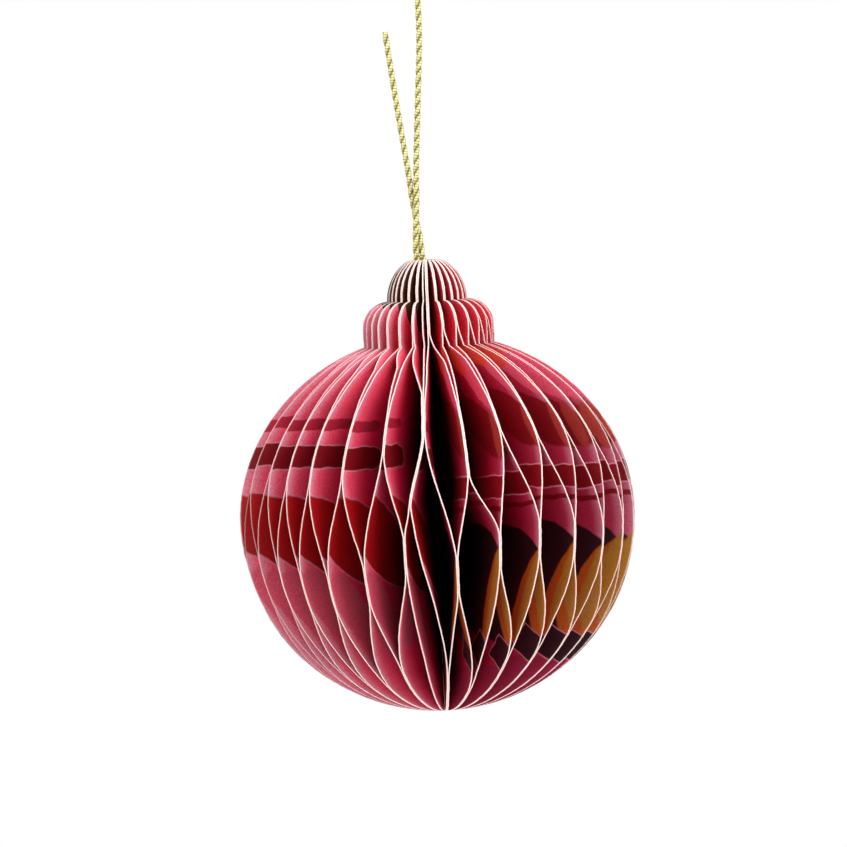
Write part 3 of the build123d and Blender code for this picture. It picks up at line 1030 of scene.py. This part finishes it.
    @staticmethod
    def leaf_faces(rows: int, columns: int) -> tuple[list[tuple[int, ...]], list[int]]:
        """Joins a leaf's two grids of points into a closed sheet.

        Args:
            rows: Rows of points in each grid.
            columns: Columns of points in each grid.

        Returns:
            Corner numbers of each face, and its kind.
        """
        grid = np.arange(rows * columns).reshape(rows, columns)
        back = rows * columns
        faces: list[tuple[int, ...]] = []
        kinds: list[int] = []
        for row, column in np.ndindex(rows - 1, columns - 1):
            a, b = int(grid[row, column]), int(grid[row, column + 1])
            c, d = int(grid[row + 1, column + 1]), int(grid[row + 1, column])
            faces += [(a, d, c, b), (a + back, b + back, c + back, d + back)]
            kinds += [Face.RIGHT.value, Face.LEFT.value]
        rim = [*grid[0, :-1], *grid[:-1, -1], *grid[-1, :0:-1], *grid[:0:-1, 0]]
        for start, end in zip(rim, rim[1:] + rim[:1]):
            a, b = int(start), int(end)
            faces.append((a, b, b + back, a + back))
            kinds.append(Face.EDGE.value)
        return faces, kinds

    def build(self) -> list[bpy.types.Object]:
        """Builds and dresses every leaf.

        Returns:
            The leaves, from the right of the closing seam round to its left.
        """
        materials = [finish.material() for finish in (RIGHT_FACE, LEFT_FACE, CutPaper())]
        leaves = []
        for number in range(1, self.count + 1):
            name = f"printed_leaf_{number:02d}"
            leaf = self.leaf_parts(number).to_object(name, materials, self.crease)
            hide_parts(f"paper_leaf_{number:02d}")
            log.info("%s: %d faces", leaf.name, len(leaf.data.polygons))
            leaves.append(leaf)
        return leaves


@dataclass
class TwistedCord:
    """Gold cord of two soft plies, laid along a route.

    Attributes:
        diameter: Diameter of the cord.
        plies: Number of plies.
        ply_share: Radius of a ply as a share of the cord's. Soft plies press into each other.
        pitch: Length of one full twist.
        fullness: How far the springy plies stand out, as a share of the diameter.
        unevenness: How far the twist runs ahead or behind, in degrees.
        uneven_length: Length over which it does.
        step: Distance between rings of points along the cord.
        sides: Points round the cord.
        crease: Angle in degrees above which an edge stays sharp.
    """

    diameter: float = 1.05
    plies: int = 2
    ply_share: float = 0.72
    pitch: float = 3.9
    fullness: float = 1.08
    unevenness: float = 50.0
    uneven_length: float = 2.6
    step: float = 0.16
    sides: int = 24
    crease: float = 60.0

    def centreline(self, name: str, route: Points) -> np.ndarray:
        """Smooth line of the cord.

        Args:
            name: Name of the cord.
            route: Points that steer it, in millimetres in the shared frame.

        Returns:
            Evenly spaced points along it.
        """
        curve = bpy.data.curves.new(name + "_line", "CURVE")
        curve.dimensions = "3D"
        curve.resolution_u = 16
        spline = curve.splines.new("NURBS")
        spline.points.add(len(route) - 1)
        for point, place in zip(spline.points, route):
            point.co = (*place, 1.0)
        spline.order_u = 3
        spline.use_endpoint_u = True
        carrier = bpy.data.objects.new(curve.name, curve)
        line = bpy.data.meshes.new_from_object(carrier)
        points = np.array([vertex.co for vertex in line.vertices])
        bpy.data.objects.remove(carrier)
        bpy.data.meshes.remove(line)
        bpy.data.curves.remove(curve)
        along = self.step_lengths(points)
        even = np.linspace(0.0, along[-1], 1 + round(along[-1] / self.step))
        return np.stack([np.interp(even, along, points[:, axis]) for axis in range(3)], axis=1)

    @staticmethod
    def frames(line: np.ndarray) -> tuple[np.ndarray, np.ndarray]:
        """Directions across a line that don't twist about it.

        Args:
            line: Points along the line.

        Returns:
            Two directions square to the line at each point.
        """
        tangents = np.gradient(line, axis=0)
        tangents /= np.linalg.norm(tangents, axis=1)[:, None]
        sides = np.zeros_like(line)
        side = np.cross(tangents[0], (0.0, 1.0, 0.0))
        for at, tangent in enumerate(tangents):
            side = side - tangent * np.dot(side, tangent)
            side /= np.linalg.norm(side)
            sides[at] = side
        return sides, np.cross(tangents, sides)

    def section(self, ring: np.ndarray) -> np.ndarray:
        """Outline across the cord, round all its plies.

        Args:
            ring: Angles round the cord.

        Returns:
            Radius at each angle, as a share of the largest.
        """
        lay = 1 - self.ply_share
        reaches = []
        for ply in range(self.plies):
            lobe = ring - 2 * math.pi * ply / self.plies
            past_middle = np.sqrt(self.ply_share**2 - (lay * np.sin(lobe)) ** 2)
            reaches.append(lay * np.cos(lobe) + past_middle)
        return np.max(reaches, axis=0)

    def parts(self, line: np.ndarray) -> MeshParts:
        """Lays the twisted plies along a line.

        Args:
            line: Points along the cord's middle.

        Returns:
            Points, faces and maps of the cord.
        """
        along = self.step_lengths(line)
        sides, ups = self.frames(line)
        ring = np.arange(self.sides) * 2 * math.pi / self.sides
        reach = self.section(ring)
        strays = [noise.noise(Vector((length / self.uneven_length, 0.0, 0.0))) for length in along]
        twist = 2 * math.pi * along / self.pitch + math.radians(self.unevenness) * np.array(strays)
        turn = twist[:, None] + ring[None, :]
        aside = np.cos(turn)[:, :, None] * sides[:, None, :]
        around = aside + np.sin(turn)[:, :, None] * ups[:, None, :]
        radius = self.fullness * self.diameter / 2
        points = line[:, None, :] + radius * reach[None, :, None] * around
        share = np.tile(ring / (2 * math.pi), len(line))
        maps = {
            THREAD_MAP: np.stack([share, np.repeat(along, self.sides)], axis=1),
            LAY_MAP: np.stack([np.tile(reach, len(line)), share], axis=1),
        }
        faces = self.tube_faces(len(line))
        return MeshParts(points.reshape(-1, 3), faces, [0] * len(faces), maps)

    @staticmethod
    def step_lengths(line: np.ndarray) -> np.ndarray:
        """Distance of each point from the line's start."""
        return np.concatenate([[0.0], np.cumsum(np.linalg.norm(np.diff(line, axis=0), axis=1))])

    def tube_faces(self, rings: int) -> list[tuple[int, ...]]:
        """Joins the rings of points into a closed tube.

        Args:
            rings: Number of rings.

        Returns:
            Corner numbers of each face.
        """
        faces: list[tuple[int, ...]] = []
        for ring in range(rings - 1):
            for side in range(self.sides):
                after = (side + 1) % self.sides
                a, b = ring * self.sides + side, ring * self.sides + after
                faces.append((a, b, b + self.sides, a + self.sides))
        last = (rings - 1) * self.sides
        faces.append(tuple(range(self.sides - 1, -1, -1)))
        faces.append(tuple(range(last, last + self.sides)))
        return faces


@dataclass
class HangingCord:
    """The cord that the bauble hangs by: a long strand with a loop, a short tail and two knots.

    Attributes:
        ball_level: Height of the ball's middle in the shared frame.
        cord: Make of the cord.
        stiffness: How stiff it is. Not used.
        crown_exit: Where the strands leave the crown. Not used.
        knot_turns: Turns of each knot.
        knot_steps: Points along each turn.
        knot_taper: How much the end turns are drawn in, as a share of the knot's radius.
        taper_start: Where that starts, as a share of the way from a knot's middle to its end.
        loop_knot_radius: Radius of the loop's knot at the middle of its cord.
        loop_knot_pitch: Rise of one of its turns.
        anchor_knot_pitch: Rise of one turn of the knot in the spine.
        strand_route: Points that steer the long strand up to the loop's knot.
        loop_route: Points that steer it round the loop.
        tail_route: Points that steer the tail.
    """

    ball_level: float
    cord: TwistedCord
    stiffness: str = "medium"
    crown_exit: Place = (-1.0, 0.0, 45.8)
    knot_turns: int = 3
    knot_steps: int = 24
    knot_taper: float = 0.5
    taper_start: float = 0.55
    loop_knot_radius: float = 1.15
    loop_knot_pitch: float = 1.1
    anchor_knot_pitch: float = 1.05
    strand_route: Points = (
        (-0.62, 0.05, 38.3),
        (-0.75, 0.0, 42.0),
        (-1.52, 0.0, 45.8),
        (-1.50, -0.44, 49.4),
        (-1.20, -0.62, 53.0),
        (-0.92, -0.44, 56.8),
        (-0.86, 0.0, 60.6),
        (-0.42, 0.10, 67.0),
        (0.28, 0.0, 76.0),
        (1.10, 0.0, 87.0),
        (0.75, 0.0, 97.0),
    )
    loop_route: Points = (
        (5.3, 0.0, 104.2),
        (4.9, 0.0, 109.6),
        (2.3, 0.0, 112.5),
        (-2.3, 0.0, 112.5),
        (-4.9, 0.0, 109.6),
        (-5.3, 0.0, 104.2),
        (-3.4, 0.0, 100.6),
        (-0.75, 0.0, 97.8),
    )
    tail_route: Points = (
        (0.62, -0.05, 38.3),
        (0.50, 0.0, 42.0),
        (-0.44, 0.0, 45.8),
        (-0.62, 0.44, 49.4),
        (-1.20, 0.62, 53.0),
        (-1.80, 0.44, 56.8),
        (-2.10, 0.0, 60.6),
        (-2.90, 0.0, 67.0),
        (-4.08, 0.0, 76.8),
        (-5.1, 0.0, 86.3),
    )

    def placed(self, route: Points) -> list[Place]:
        """Moves a route from the ball's heights into the shared frame."""
        return [(x, y, z + self.ball_level) for x, y, z in route]

    def build(self) -> list[bpy.types.Object]:
        """Builds and dresses the strands and their knots.

        Returns:
            The long strand, the tail and the two knots.
        """
        foil = FoilThread().material()
        loop_foot = self.placed(self.strand_route)[-1]
        knot = self.knot("loop_knot", foil, loop_foot, self.loop_knot_radius, self.loop_knot_pitch)
        route = (*self.strand_route, *self.loop_route)
        strand = self.strand("hanging_strand", foil, route, "knot", [knot])
        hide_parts("hanging_cord")
        tail = self.strand("cut_tail", foil, self.tail_route, "bare", [])
        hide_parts("cord_tail")
        low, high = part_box("anchor_knot")
        middle = tuple((low + high) / 2 / MM)
        inside = (high.x - low.x) / 2 / MM - self.cord.diameter / 2
        anchor = self.knot("anchor_knot_wraps", foil, middle, inside, self.anchor_knot_pitch)
        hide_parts("anchor_knot")
        return [strand, tail, knot, anchor]

    def strand(
        self,
        name: str,
        foil: bpy.types.Material,
        route: Points,
        far_end: str,
        pieces: list[bpy.types.Object],
    ) -> bpy.types.Object:
        """Args:
            name: Name of the piece.
            foil: Material of the cord.
            route: Points that steer the strand.
            far_end: What its far end is. Not used.
            pieces: Separate pieces on it. Not used.

        Returns:
            The strand.
        """
        line = self.cord.centreline(name, self.placed(route))
        piece = self.cord.parts(line).to_object(name, [foil], self.cord.crease)
        float(self.cord.step_lengths(line)[-1]) * MM
        log.info("%s: %.1f mm of cord", name, self.cord.step_lengths(line)[-1])
        return piece

    def knot(
        self, name: str, foil: bpy.types.Material, middle: Place, radius: float, pitch: float
    ) -> bpy.types.Object:
        """Winds a barrel knot round the strands.

        Args:
            name: Name of the piece.
            foil: Material of the cord.
            middle: Place of the knot, in millimetres in the shared frame.
            radius: Radius of its turns at the middle of the cord.
            pitch: Rise of one turn.

        Returns:
            The knot.
        """
        share = np.linspace(-0.5, 0.5, self.knot_steps * self.knot_turns + 1)
        turn = share * 2 * math.pi * self.knot_turns
        past = np.clip(np.abs(share) * 2 - self.taper_start, 0, None) / (1 - self.taper_start)
        bulge = radius * (1 - self.knot_taper * past)
        rise = share * pitch * self.knot_turns
        wound = np.stack([bulge * np.cos(turn), bulge * np.sin(turn), rise], axis=1)
        piece = self.cord.parts(wound + np.array(middle)).to_object(name, [foil], self.cord.crease)
        log.info("%s: %d turns", name, self.knot_turns)
        return piece


def background_rays(tree: Tree) -> Socket:
    """Tells the rays that show the background: from the camera, mirrored, or through glass.

    Args:
        tree: Tree of the material or world.

    Returns:
        Socket that gives one for such rays and nothing for the rest.
    """
    rays = add_node(tree, "LightPath").outputs
    seen = rays["Is Camera Ray"]
    for kind in ("Is Glossy Ray", "Is Transmission Ray"):
        settings, links = {"operation": "MAXIMUM"}, {0: seen, 1: rays[kind]}
        seen = add_node(tree, "Math", settings, links).outputs[0]
    return seen


@dataclass(frozen=True)
class StudioPaper:
    """Seamless white paper of the studio floor: matt, and pure white away from the shadow.

    Attributes:
        name: Name of the material.
        white: Colour of the paper.
        roughness: Roughness of the paper.
        shadow_radius: Radius in millimetres inside which the floor shows shade.
        fade: Width in millimetres over which it turns pure white.
    """

    name: str = "seamless_white_paper"
    white: str = "#F4F3F1"
    roughness: float = 0.9
    shadow_radius: float = 130.0
    fade: float = 160.0

    def material(self) -> bpy.types.Material:
        """Builds the material.

        Returns:
            The material of the floor.
        """
        material, tree, shader = new_material(self.name)
        shader.inputs["Base Color"].default_value = linear(self.white)
        shader.inputs["Roughness"].default_value = self.roughness
        space = add_node(tree, "TexCoord").outputs["Object"]
        away = add_node(tree, "VectorMath", {"operation": "LENGTH"}, {0: space}).outputs["Value"]
        settings = {
            "From Min": self.shadow_radius * MM,
            "From Max": (self.shadow_radius + self.fade) * MM,
            "interpolation_type": "SMOOTHSTEP",
        }
        far = add_node(tree, "MapRange", settings, {"Value": away}).outputs[0]
        settings, links = {"operation": "MULTIPLY"}, {0: background_rays(tree), 1: far}
        share = add_node(tree, "Math", settings, links).outputs[0]
        glow = add_node(tree, "Emission", {"Color": linear(WHITE), "Strength": 1.0}).outputs[0]
        links = {0: share, 1: shader.outputs[0], 2: glow}
        mix = add_node(tree, "MixShader", links=links).outputs[0]
        tree.links.new(mix, tree.nodes["Material Output"].inputs["Surface"])
        return material


@dataclass(frozen=True)
class SoftBox:
    """A large soft lamp.

    Attributes:
        name: Name of the lamp.
        azimuth: Where it stands round the bauble, in degrees.
        elevation: How high it stands, in degrees.
        level: Light that it gives a white card facing it at the ball, where one is plain white.
        distance: Distance from the ball in millimetres.
        size: Side of its square face in millimetres.
        colour: Colour of the light.
    """

    name: str
    azimuth: float
    elevation: float
    level: float
    distance: float = 900.0
    size: float = 800.0
    colour: str = WHITE

    def build(self, target: Vector) -> bpy.types.Object:
        """Places the lamp.

        Args:
            target: Point that it faces.

        Returns:
            The lamp.
        """
        lamp = bpy.data.lights.new(self.name, "AREA")
        lamp.size = self.size * MM
        lamp.color = linear(self.colour)[:3]
        lamp.energy = self.level * math.pi**2 * (self.distance * MM) ** 2
        place = bpy.data.objects.new(self.name, lamp)
        turn, rise = math.radians(self.azimuth), math.radians(self.elevation)
        flat = math.cos(rise)
        away = Vector((math.sin(turn) * flat, -math.cos(turn) * flat, math.sin(rise)))
        place.location = target + away * self.distance * MM
        place.rotation_euler = away.to_track_quat("Z", "Y").to_euler()
        bpy.context.scene.collection.objects.link(place)
        return place


@dataclass
class Studio:
    """Floor, light and camera.

    Attributes:
        ball_level: Height of the ball's middle in the shared frame, in millimetres.
        drop: Distance from the ball's middle down to the floor.
        floor_size: Side of the floor.
        dome: Light of the surroundings, where one is plain white.
        image: Side of the picture in pixels.
        scale: Pixels for each millimetre at the ball.
        ball_pixel: Where the ball's middle is in the picture.
        distance: Distance of the camera from the ball.
        elevation: Height of the camera in degrees.
        roll: Clockwise roll of the camera in degrees.
        lamps: Soft lamps round the bauble.
    """

    ball_level: float
    drop: float = 95.0
    floor_size: float = 9000.0
    dome: float = 0.2
    image: int = 847
    scale: float = 5.65
    ball_pixel: tuple[float, float] = (437.6, 518.0)
    distance: float = 2000.0
    elevation: float = 3.0
    roll: float = 2.8
    lamps: tuple[SoftBox, ...] = (
        SoftBox("fill_softbox", azimuth=-50.0, elevation=36.0, level=0.68),
        SoftBox("key_softbox", azimuth=50.0, elevation=40.0, level=1.08),
        SoftBox("back_softbox", azimuth=180.0, elevation=40.0, level=0.65),
    )

    def build(self) -> None:
        """Sets up the studio."""
        bpy.context.scene.view_settings.view_transform = "Standard"
        self.build_camera()
        self.build_world()
        self.build_floor()
        for lamp in self.lamps:
            lamp.build(self.ball())

    def ball(self) -> Vector:
        """Middle of the ball in metres."""
        return Vector((0.0, 0.0, self.ball_level * MM))

    def build_camera(self) -> None:
        """Sets the camera at the viewing angle, with the ball where the picture has it."""
        camera = bpy.data.cameras.new("studio_camera")
        camera.sensor_width = 36.0
        camera.lens = camera.sensor_width * self.distance * self.scale / self.image
        camera.clip_end = 20.0
        place = bpy.data.objects.new("studio_camera", camera)
        rise, roll = math.radians(self.elevation), math.radians(self.roll)
        back = Vector((0.0, -math.cos(rise), math.sin(rise)))
        level_right = Vector((1.0, 0.0, 0.0))
        level_up = back.cross(level_right)
        right = level_right * math.cos(roll) - level_up * math.sin(roll)
        up = level_up * math.cos(roll) + level_right * math.sin(roll)
        from_centre = [(at - self.image / 2) / self.scale for at in self.ball_pixel]
        aim = self.ball() + (up * from_centre[1] - right * from_centre[0]) * MM
        place.location = self.ball() + back * self.distance * MM
        back = (place.location - aim).normalized()
        right = up.cross(back).normalized()
        up = back.cross(right)
        place.rotation_euler = Matrix((right, up, back)).transposed().to_euler()
        bpy.context.scene.collection.objects.link(place)
        bpy.context.scene.camera = place

    def build_world(self) -> None:
        """Lights the surroundings evenly, and shows them white."""
        world = bpy.data.worlds.new("white_studio")
        world.use_nodes = True
        bpy.context.scene.world = world
        tree = world.node_tree
        surround = tree.nodes["Background"]
        surround.inputs["Color"].default_value = linear(WHITE)
        surround.inputs["Strength"].default_value = self.dome
        shown = add_node(tree, "Background", {"Color": linear(WHITE), "Strength": 1.0})
        links = {0: background_rays(tree), 1: surround.outputs[0], 2: shown.outputs[0]}
        mix = add_node(tree, "MixShader", links=links).outputs[0]
        tree.links.new(mix, tree.nodes["World Output"].inputs["Surface"])

    def build_floor(self) -> None:
        """Lays the pale floor under the bauble."""
        half = self.floor_size / 2 * MM
        mesh = bpy.data.meshes.new("studio_floor")
        corners = [(-half, -half, 0), (half, -half, 0), (half, half, 0), (-half, half, 0)]
        mesh.from_pydata(corners, [], [(0, 1, 2, 3)])
        mesh.materials.append(StudioPaper().material())
        floor = bpy.data.objects.new("studio_floor", mesh)
        floor.location = self.ball() - Vector((0.0, 0.0, self.drop * MM))
        bpy.context.scene.collection.objects.link(floor)


def main() -> None:
    """Builds the studio, the cord and the leaves."""
    ring = LeafRing()
    Studio(ring.ball_level).build()
    HangingCord(ring.ball_level, TwistedCord()).build()
    ring.build()


if __name__ == "__main__":
    main()
